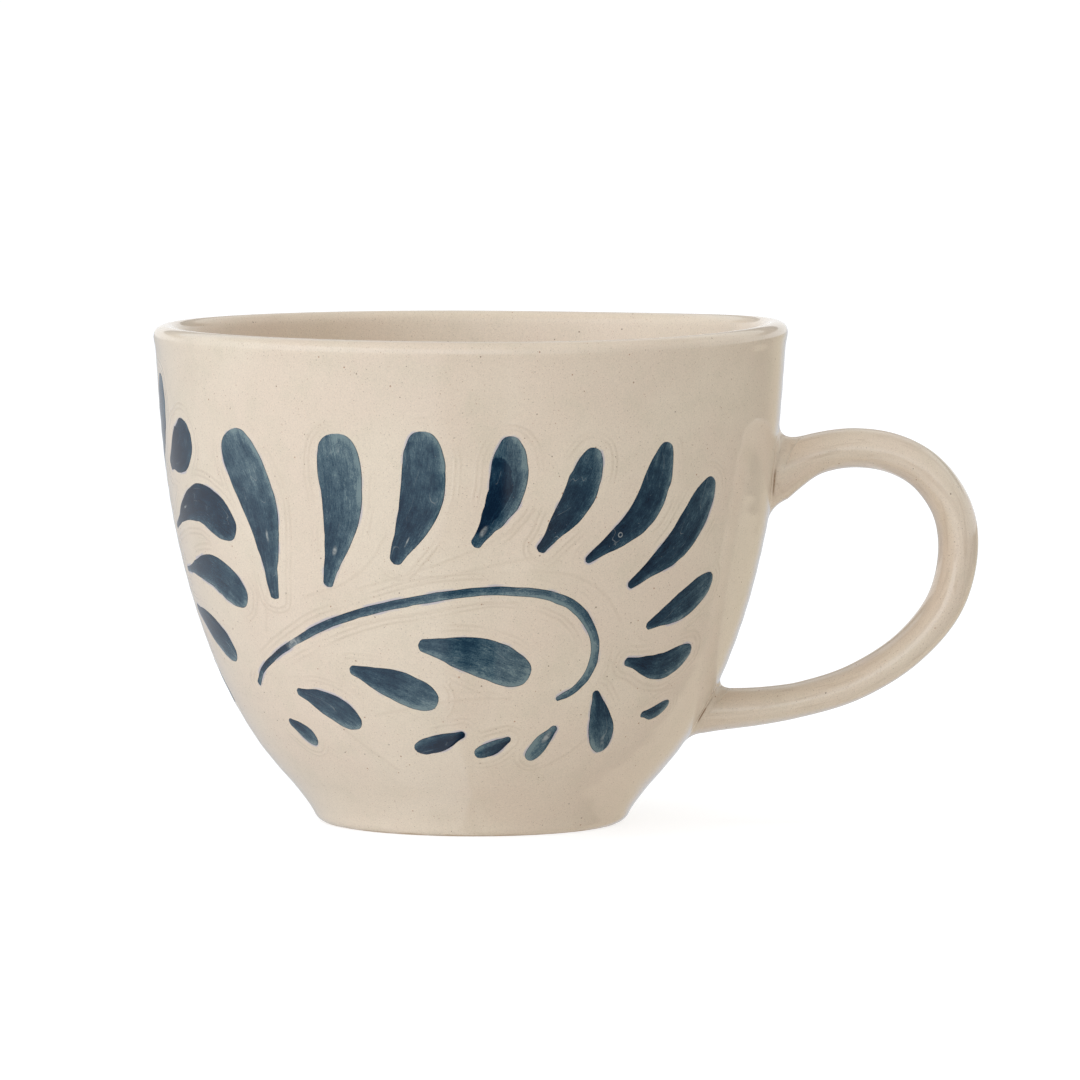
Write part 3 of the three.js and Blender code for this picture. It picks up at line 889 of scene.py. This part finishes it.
def root_places(turn, end, onward, furthest):
    """Where each line along the handle meets the wall, within some distance of one of its ends."""
    low, high = np.zeros_like(turn), np.full_like(turn, furthest)
    for _ in range(30):
        halfway = (low + high) / 2
        outside = off_wall(handle_point(turn, end + onward * halfway)) > 0
        low, high = np.where(outside, low, halfway), np.where(outside, halfway, high)
    return end + onward * (low + high) / 2


def make_handle(material):
    turn = np.linspace(0, 2 * np.pi, HANDLE_SIDES, endpoint=False)
    upper = root_places(turn, 0, 1, 30)
    lower = root_places(turn, HANDLE_LENGTH, -1, 40)
    share = np.linspace(0, 1, HANDLE_RINGS)[:, None]
    place = upper + (lower - upper) * share
    around = np.broadcast_to(turn, place.shape)
    points = handle_point(around, place)
    faces = [face[::-1] for face in grid_faces(HANDLE_RINGS, HANDLE_SIDES)]
    faces.append(list(range(HANDLE_SIDES)))
    faces.append(list(range(HANDLE_RINGS * HANDLE_SIDES - 1, (HANDLE_RINGS - 1) * HANDLE_SIDES - 1, -1)))
    pulled = np.stack([np.cos(around) * STREAK_HALF_THICK, np.sin(around) * HANDLE_HALF_WIDE, place], axis=-1)
    fields = {"pulled": pulled.reshape(-1, 3)}
    add_piece("pulled_handle", points.reshape(-1, 3), faces, material, "handle", fields)
    return turn, upper, lower


def make_joint(name, node, turn, roots, direction, reach_out, reach_in, material):
    """The slip round a handle root: a hollow fillet from the wall to the handle, closed inside both.

    It reaches furthest on the outer and inner sides of the handle's bend, and is pinched to
    a crease between them.
    """
    reach = (reach_out + reach_in) / 2 + (reach_out - reach_in) / 2 * np.cos(turn)
    pinch = np.abs(np.sin(turn)) ** 1.5
    on_the_wall = reach * (1 - 0.5 * pinch)
    on_the_handle = reach * (1.1 - 0.45 * pinch)
    meet = handle_point(turn, roots)
    angle, height = np.degrees(np.arctan2(meet[:, 0], -meet[:, 1])), meet[:, 2]
    per_degree = math.radians(float(wall_radius(height.mean())))
    flat = np.stack([angle * per_degree, height], axis=1)
    tangent = np.roll(flat, -1, axis=0) - np.roll(flat, 1, axis=0)
    normal = np.stack([tangent[:, 1], -tangent[:, 0]], axis=1)
    normal /= np.linalg.norm(normal, axis=1)[:, None]
    if ((flat - flat.mean(0)) * normal).sum() < 0:
        normal = -normal
    foot = flat + normal * on_the_wall[:, None]
    inner_foot = flat + normal * on_the_wall[:, None] * 0.9
    start = on_wall(foot[:, 0] / per_degree, foot[:, 1], -0.01)
    corner = on_wall(flat[:, 0] / per_degree, flat[:, 1], -0.25 * pinch)
    end = handle_point(turn, roots + direction * on_the_handle)
    rows, crease = [], []
    for t in np.linspace(0, 1, SLIP_ROWS):
        rows.append(start * (1 - t) ** 2 + corner * 2 * t * (1 - t) + end * t * t)
        crease.append(pinch * math.exp(-((t - 0.5) / 0.16) ** 2))
    inner = handle_point(turn, roots + direction * 0.2)
    middle = inner.mean(0)
    rows.append(end + (middle - end) * 0.06)
    rows.append(inner + (middle - inner) * 0.06)
    rows.append(on_wall(inner_foot[:, 0] / per_degree, inner_foot[:, 1], -0.3))
    crease += [np.zeros_like(turn)] * 3
    faces = grid_faces(len(rows), len(turn))
    last = (len(rows) - 1) * len(turn)
    for k in range(len(turn)):
        after = (k + 1) % len(turn)
        faces.append([last + k, last + after, after, k])
    if direction > 0:
        faces = [face[::-1] for face in faces]
    points = np.reshape(rows, (-1, 3))
    add_piece(name, points, faces, material, node, {"crease": np.ravel(crease)})


turn, upper, lower = make_handle(glaze("handle_glaze", pulled=True))
slip = glaze("luting_slip", jointed=True)
make_joint("upper_joint_slip", "upper_slip_joint", turn, upper, 1, 4, 2.8, slip)
make_joint("lower_joint_slip", "lower_slip_joint", turn, lower, -1, 2.6, 3, slip)


# ---- studio ----


# How bright the surroundings are above the horizon, by azimuth in degrees, from 0 at the
# camera to 90 at the handle's side.
ABOVE = ((-180, 0.8), (-120, 0.8), (-60, 2.0), (0, 1.5), (60, 0.25), (120, 1.05), (180, 0.8))
OVERHEAD = 0.36
# The same below the horizon, which shows only in the glaze: pale boards all round the left
# side, a dark gap at the camera, and a board on its right that fades out.
BELOW = (
    (-180, 0.9), (-174, 0.9), (-171, 0.58), (-139, 0.6), (-112, 0.72), (-95, 1.0), (-60, 0.8), (-15, 0.8),
    (-8, 0.06), (12.4, 0.05), (13.2, 0.6), (45, 0.2),
)
# The board beyond the handle, well below the horizon and close to it.
LOW_BOARD = ((126, 0.2), (131, 0.66), (155, 0.66), (163, 0.7), (180, 0.7))
LEVEL_BOARD = ((136, 0.2), (152, 0.6), (163, 0.7), (180, 0.7))
# The air is neutral on the handle's side and cool on the other. The boards are warm by the handle.
ABOVE_TINTS = (
    (-180, (0.92, 0.99, 1.07, 1)), (0, (0.92, 0.99, 1.07, 1)), (60, (0.96, 0.98, 0.96, 1)),
    (180, (0.96, 0.98, 0.96, 1)),
)
BELOW_TINTS = (
    (-180, (0.94, 0.98, 1.04, 1)), (0, (0.94, 0.98, 1.04, 1)), (30, (1.08, 0.96, 0.74, 1)),
    (155, (1.08, 0.96, 0.74, 1)), (166, (0.94, 0.98, 1.04, 1)),
)
GAP_FROM, GAP_TO = 13.0, 22.0      # the dim slot above the white backdrop, degrees of elevation


def add_object(name, data):
    made = bpy.data.objects.new(name, data)
    bpy.context.scene.collection.objects.link(made)
    return made


def make_table(name, level, glow):
    """A wide pale table top that glows softly."""
    half = 30.0
    corners = [(-half, -half, level), (half, -half, level), (half, half, level), (-half, half, level)]
    mesh = bpy.data.meshes.new(name)
    mesh.from_pydata(corners, [], [(0, 1, 2, 3)])
    s = Shader(name)
    paper = s.span(s.noise(s.places(), 0.02, 3), 0.3, 0.7, 0.38, 0.42)
    mesh.materials.append(s.set({
        "Base Color": s.grey(paper), "Roughness": 0.9,
        "Emission Color": (1, 1, 1, 1), "Emission Strength": glow,
    }))
    table = add_object(name, mesh)
    table.visible_glossy = False
    return table


def make_floor():
    """The table that the camera sees, and one just under it that lights the mug from below.

    The glaze mirrors neither: it mirrors the world's lower half, in their place.
    """
    seen = make_table("pale_floor", 0, 0.75)
    seen.visible_diffuse = seen.visible_shadow = False
    bounce = make_table("bounce_floor", -0.5 * MM, 0.376)
    bounce.visible_camera = False


def make_world():
    world = bpy.data.worlds.new("studio")
    bpy.context.scene.world = world
    world.use_nodes = True
    n = Nodes(world.node_tree)
    direction = n.add("ShaderNodeSeparateXYZ", {0: n.add("ShaderNodeTexCoord").outputs["Generated"]}).outputs
    azimuth = n.math("ARCTAN2", direction[0], n.math("MULTIPLY", direction[1], -1))
    turn = n.math("ADD", n.math("DIVIDE", azimuth, 2 * math.pi), 0.5)

    def around(levels, tints):
        grey = n.ramp(turn, [(angle / 360 + 0.5, (value, value, value, 1)) for angle, value in levels])
        tint = n.ramp(turn, [(angle / 360 + 0.5, colour) for angle, colour in tints])
        return n.mix(1.0, grey, tint, "MULTIPLY")

    level = direction[2]
    low, high = math.sin(math.radians(GAP_FROM)), math.sin(math.radians(GAP_TO))
    soft = 0.01
    behind = n.span(direction[1], 0.6, 0.75)
    above = n.mix(n.span(level, 0.5, 0.77), around(ABOVE, ABOVE_TINTS), (OVERHEAD, OVERHEAD, OVERHEAD, 1))
    backdrop = n.math("MULTIPLY", behind, n.span(level, low + soft, low - soft))
    above = n.mix(backdrop, above, (1, 1, 1, 1))
    slot = n.math("MULTIPLY", n.span(level, low - soft, low + soft), n.span(level, high + soft, high - soft))
    above = n.mix(n.math("MULTIPLY", slot, behind), above, (0.3, 0.3, 0.3, 1))
    low_board, level_board = around(BELOW + LOW_BOARD, BELOW_TINTS), around(BELOW + LEVEL_BOARD, BELOW_TINTS)
    below = n.mix(n.span(level, -0.18, -0.155), low_board, level_board)
    sky = n.mix(n.span(level, -0.02, 0.0), below, above)
    n.feed(world.node_tree.nodes["Background"].inputs["Color"], sky)


def add_light(name, place, size, power):
    """A round soft box aimed at the mug. The glaze doesn't mirror it."""
    data = bpy.data.lights.new(name, "AREA")
    data.shape, data.size, data.energy = "DISK", size, power
    light = add_object(name, data)
    light.location = place
    light.rotation_euler = (Vector((0, 0, 0.05)) - light.location).to_track_quat("-Z", "Y").to_euler()
    light.visible_camera = light.visible_glossy = False


make_floor()
make_world()
add_light("key", (-1.6, -1.3, 2.1), 1.4, 7.4)
add_light("top", (0.3, 0.2, 2.6), 1.6, 14.2)


def make_camera():
    data = bpy.data.cameras.new("camera")
    data.lens, data.sensor_width = CAMERA_LENS, 36
    data.clip_start, data.clip_end = 0.1, 200
    camera = add_object("camera", data)
    aim = (Vector(CAMERA_AIM) - Vector(CAMERA_PLACE)).to_track_quat("-Z", "Y")
    roll = Matrix.Rotation(CAMERA_ROLL, 4, "Z")
    camera.matrix_world = Matrix.Translation(CAMERA_PLACE) @ aim.to_matrix().to_4x4() @ roll
    bpy.context.scene.camera = camera


make_camera()
bpy.context.scene.view_settings.view_transform = "Standard"
